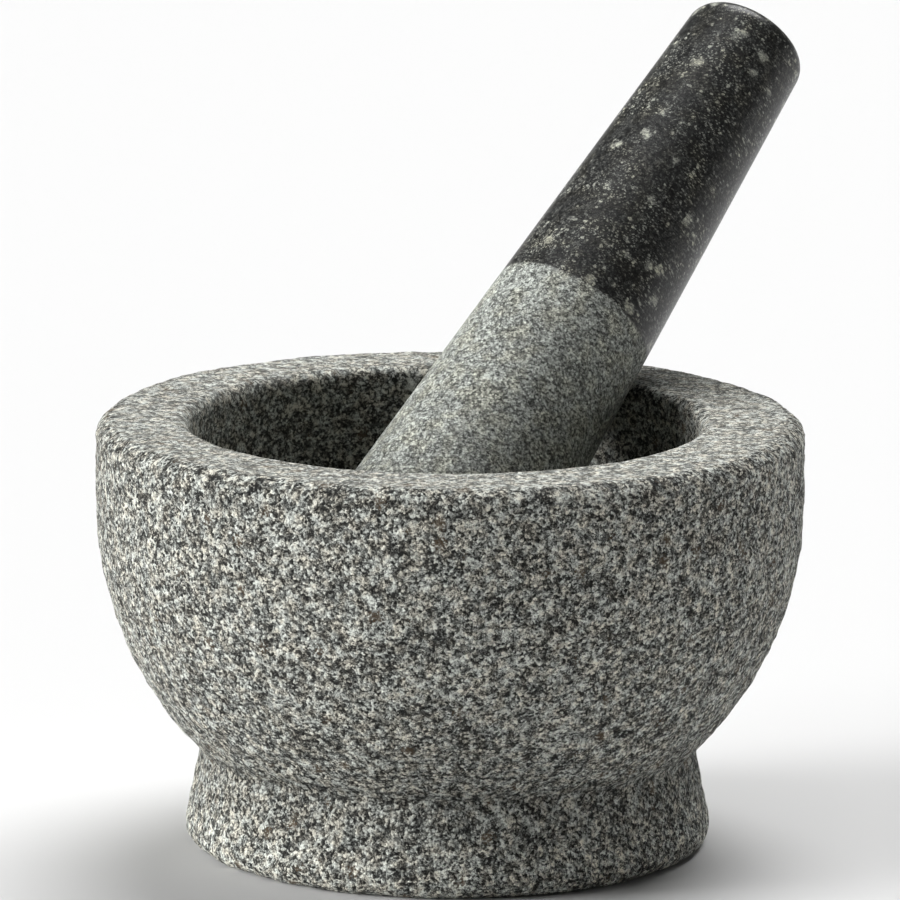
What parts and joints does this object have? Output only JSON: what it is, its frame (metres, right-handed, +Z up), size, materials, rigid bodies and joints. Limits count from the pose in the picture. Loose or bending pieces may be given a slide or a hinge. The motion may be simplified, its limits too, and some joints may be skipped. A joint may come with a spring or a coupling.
{
  "type": "mortar and pestle",
  "caption": "Turned grey granite mortar with a waist and a flared foot, and a tapered granite pestle resting in it, for crushing and grinding food.",
  "frame": {"origin": "centre of the mortar's flat underside, on the surface it stands on", "axes": "+Z up along the mortar's axis; the pestle leans over the rim towards +X and +Y"},
  "size_m": [0.1816, 0.2044, 0.2026],
  "materials": {
    "mortar_granite": "bush-hammered salt-and-pepper granite with a honed rim",
    "pestle_granite": "granite, honed grey on the grinding half and polished near-black on the handle half"
  },
  "bodies": {
    "mortar": {"mortar": "mortar_granite"},
    "pestle": {"pestle": "pestle_granite"}
  },
  "joints": [
    {"name": "pestle_lift", "type": "slide", "parent": "mortar", "child": "pestle", "axis": [0, 0, 1], "range_m": [0, 0.1]}
  ]
}
